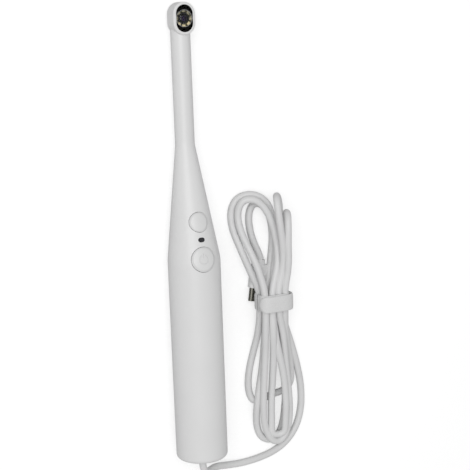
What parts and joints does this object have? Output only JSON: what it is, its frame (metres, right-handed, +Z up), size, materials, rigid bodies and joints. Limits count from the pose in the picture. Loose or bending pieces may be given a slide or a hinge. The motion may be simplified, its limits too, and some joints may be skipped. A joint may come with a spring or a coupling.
{
  "type": "intraoral camera",
  "caption": "Wired handheld dental camera: round handle tapering to a slim neck and a flat glazed lens head, with push buttons and a thin cable folded in a tied hank.",
  "frame": {"origin": "on the floor below the middle of the wand (the middle of its bounding box without the cable), wand lying on its back", "axes": "+Y along the wand towards the lens head, +Z up, out of the lens face and buttons, +X to the right seen from above"},
  "size_m": [0.0754, 0.232, 0.0253],
  "materials": {
    "white_shell": "satin",
    "white_key": "satin",
    "window_glass": "polished",
    "mask_black": "polished",
    "port_metal": "bright",
    "board_green": "satin",
    "lamp_white": "satin",
    "camera_black": "satin",
    "lens_glass": "coated",
    "sensor_grey": "satin",
    "flex_amber": "satin",
    "connector_cream": "satin",
    "chip_black": "satin",
    "screw_steel": "plain",
    "cord_white": "satin",
    "grommet_white": "satin",
    "plunger_brown": "satin",
    "indicator_dark": "satin",
    "tie_white": "smooth",
    "plug_white": "satin",
    "plug_steel": "bright",
    "contact_gold": "polished"
  },
  "bodies": {
    "wand": {"front_shell": "white_shell", "rear_shell": "white_shell", "front_window": "window_glass", "window_bezel": "mask_black", "port_ring": "port_metal", "led_board": "board_green", "ring_leds": "lamp_white", "lens_barrel": "camera_black", "front_lens": "lens_glass", "camera_holder": "camera_black", "sensor_board": "board_green", "image_sensor": "sensor_grey", "sensor_flex": "flex_amber", "main_board": "board_green", "cable_header": "connector_cream", "flex_connectors": "connector_cream", "image_processor": "chip_black", "memory_chips": "chip_black", "board_components": "chip_black", "main_board_screws": "screw_steel", "inner_cable": "cord_white", "cable_clamp": "connector_cream", "clamp_screws": "screw_steel", "cable_grommet": "grommet_white", "button_board": "board_green", "button_board_screws": "screw_steel", "button_flex": "flex_amber", "capture_switch": "chip_black", "power_switch": "chip_black", "indicator_lens": "indicator_dark", "indicator_led": "lamp_white", "cord_lead": "cord_white", "cord_hank": "cord_white", "cable_tie": "tie_white", "plug_overmould": "plug_white", "plug_shell": "plug_steel", "plug_tongue": "mask_black", "plug_contacts": "contact_gold"},
    "capture_key": {"capture_button": "white_key", "capture_plunger": "plunger_brown"},
    "power_key": {"power_button": "white_key", "power_plunger": "plunger_brown"}
  },
  "joints": [
    {"name": "capture_press", "type": "slide", "parent": "wand", "child": "capture_key", "axis": [0, -0.1736, -0.9848], "range_m": [0, 0.0003], "stiffness_N_per_m": 2500},
    {"name": "power_press", "type": "slide", "parent": "wand", "child": "power_key", "axis": [0, -0.1736, -0.9848], "range_m": [0, 0.0003], "stiffness_N_per_m": 2500}
  ]
}
